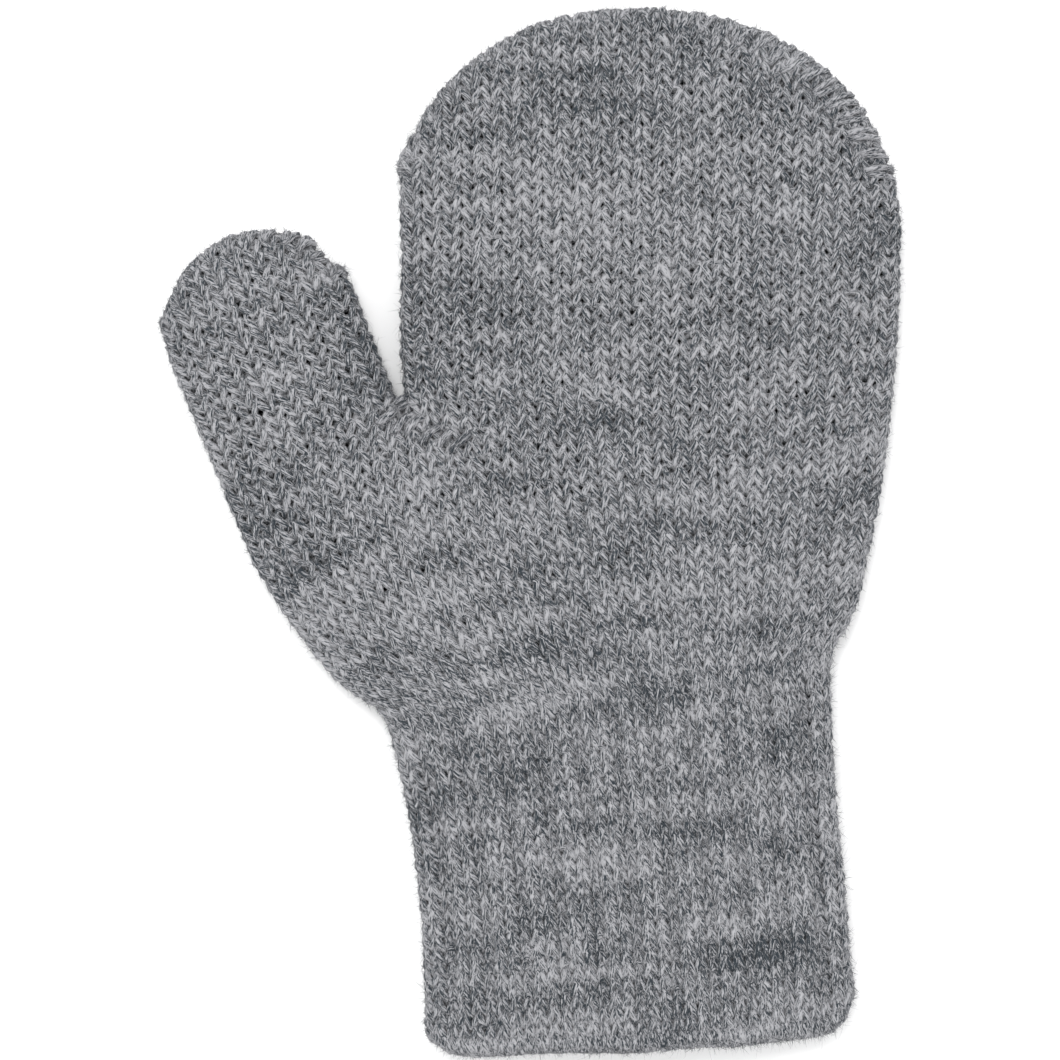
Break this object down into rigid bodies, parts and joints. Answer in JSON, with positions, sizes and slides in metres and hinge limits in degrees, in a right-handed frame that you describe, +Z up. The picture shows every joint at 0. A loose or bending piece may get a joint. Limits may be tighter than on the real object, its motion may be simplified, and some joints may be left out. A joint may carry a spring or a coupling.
{
  "type": "knitted mitten",
  "caption": "Child's knitted mitten lying flat: a finger pouch, a thumb set at an angle and an elastic cuff with a turned-in hem, jointed where the fabric folds.",
  "frame": {"origin": "under the middle of the mitten's outline, on the surface it lies on", "axes": "+X across the hand, away from the thumb; +Y from the cuff towards the finger tip; +Z up, through the palm side"},
  "size_m": [0.1066, 0.1496, 0.0106],
  "materials": {
    "wool_knit": "soft grey melange knit with a light fuzz",
    "seam_yarn": "the same yarn, looped tightly along the closings",
    "elastic": "covered elastic thread, matt"
  },
  "bodies": {
    "hand": {"palm_tube": "wool_knit", "thumb_crotch_stitches": "seam_yarn", "wrist_fold_band": "wool_knit", "knuckle_fold_band": "wool_knit", "thumb_swing_band": "wool_knit"},
    "cuff": {"cuff_tube": "wool_knit", "cuff_hem_fold": "wool_knit", "cuff_hem_facing": "wool_knit", "cuff_hem_stitches": "seam_yarn", "cuff_elastic_threads": "elastic"},
    "fingers": {"finger_sleeve": "wool_knit", "finger_fold_band": "wool_knit"},
    "fingertips": {"finger_cap": "wool_knit", "tip_seam": "seam_yarn", "tip_end_knots": "seam_yarn"},
    "thumb_root": {"thumb_root_sleeve": "wool_knit", "thumb_fold_band": "wool_knit"},
    "thumb": {"thumb_cap": "wool_knit", "thumb_tip_seam": "seam_yarn", "thumb_end_knots": "seam_yarn"}
  },
  "joints": [
    {"name": "wrist_bend", "type": "hinge", "parent": "hand", "child": "cuff", "pos_m": [0.01178, -0.02282, 0.0053], "axis": [-0.9898, -0.1426, 0], "range_deg": [0, 70], "deforming": ["wrist_fold_band"]},
    {"name": "knuckle_fold", "type": "hinge", "parent": "hand", "child": "fingers", "pos_m": [0.01728, 0.02278, 0.0053], "axis": [1, 0, 0], "range_deg": [0, 90], "deforming": ["knuckle_fold_band"]},
    {"name": "finger_curl", "type": "hinge", "parent": "fingers", "child": "fingertips", "pos_m": [0.01728, 0.04818, 0.0053], "axis": [1, 0, 0], "range_deg": [0, 90], "deforming": ["finger_fold_band"]},
    {"name": "thumb_swing", "type": "hinge", "parent": "hand", "child": "thumb_root", "pos_m": [-0.03188, 0.01352, 0.0053], "axis": [0, 0, 1], "range_deg": [-12, 15], "deforming": ["thumb_swing_band"]},
    {"name": "thumb_fold", "type": "hinge", "parent": "thumb_root", "child": "thumb", "pos_m": [-0.03598, 0.02325, 0.0053], "axis": [0.9219, 0.3875, 0], "range_deg": [0, 80], "deforming": ["thumb_fold_band"]}
  ]
}
